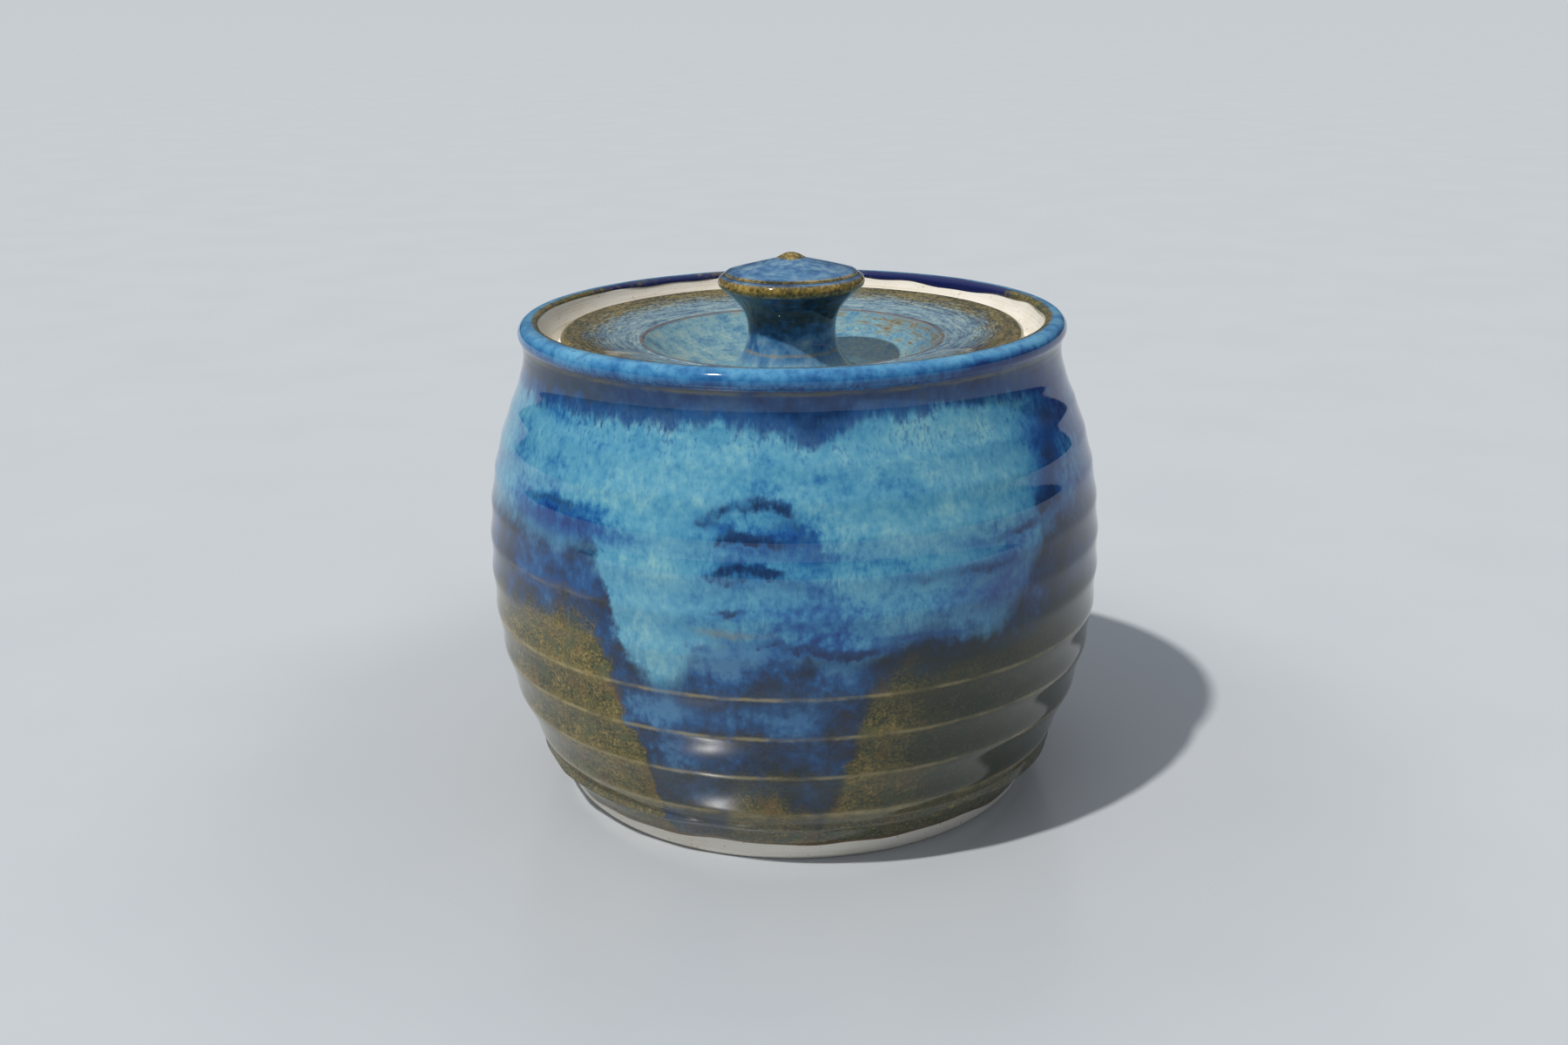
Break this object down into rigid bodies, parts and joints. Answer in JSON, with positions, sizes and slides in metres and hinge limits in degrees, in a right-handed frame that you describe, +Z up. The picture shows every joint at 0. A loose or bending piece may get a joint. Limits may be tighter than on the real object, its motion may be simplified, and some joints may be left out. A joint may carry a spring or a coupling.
{
  "type": "lidded jar",
  "caption": "Round-bellied wheel-thrown stoneware jar with a rolled rim, a sunken lift-off lid on an inner ledge, and a waisted knob; glossy blue and olive poured glaze.",
  "frame": {"origin": "centre of the foot ring, on the surface that the jar stands on", "axes": "+Z up along the jar's turning axis; the jar is round, so X and Y are free, and -Y faces the picture's viewer"},
  "size_m": [0.1463, 0.1464, 0.1273],
  "materials": {
    "bare_clay": "bare fired stoneware, matt",
    "blue_glaze": "glossy poured blue over olive glaze",
    "olive_glaze": "glossy olive-brown liner glaze"
  },
  "bodies": {
    "jar": {"jar_body": "bare_clay", "outer_glaze": "blue_glaze", "liner_glaze": "olive_glaze"},
    "lid": {"lid_plate": "bare_clay", "lid_knob": "bare_clay", "lid_glaze": "blue_glaze", "lid_under_glaze": "olive_glaze"}
  },
  "joints": [
    {"name": "lid_lift", "type": "slide", "parent": "jar", "child": "lid", "axis": [0, 0, 1], "range_m": [0, 0.12]}
  ]
}
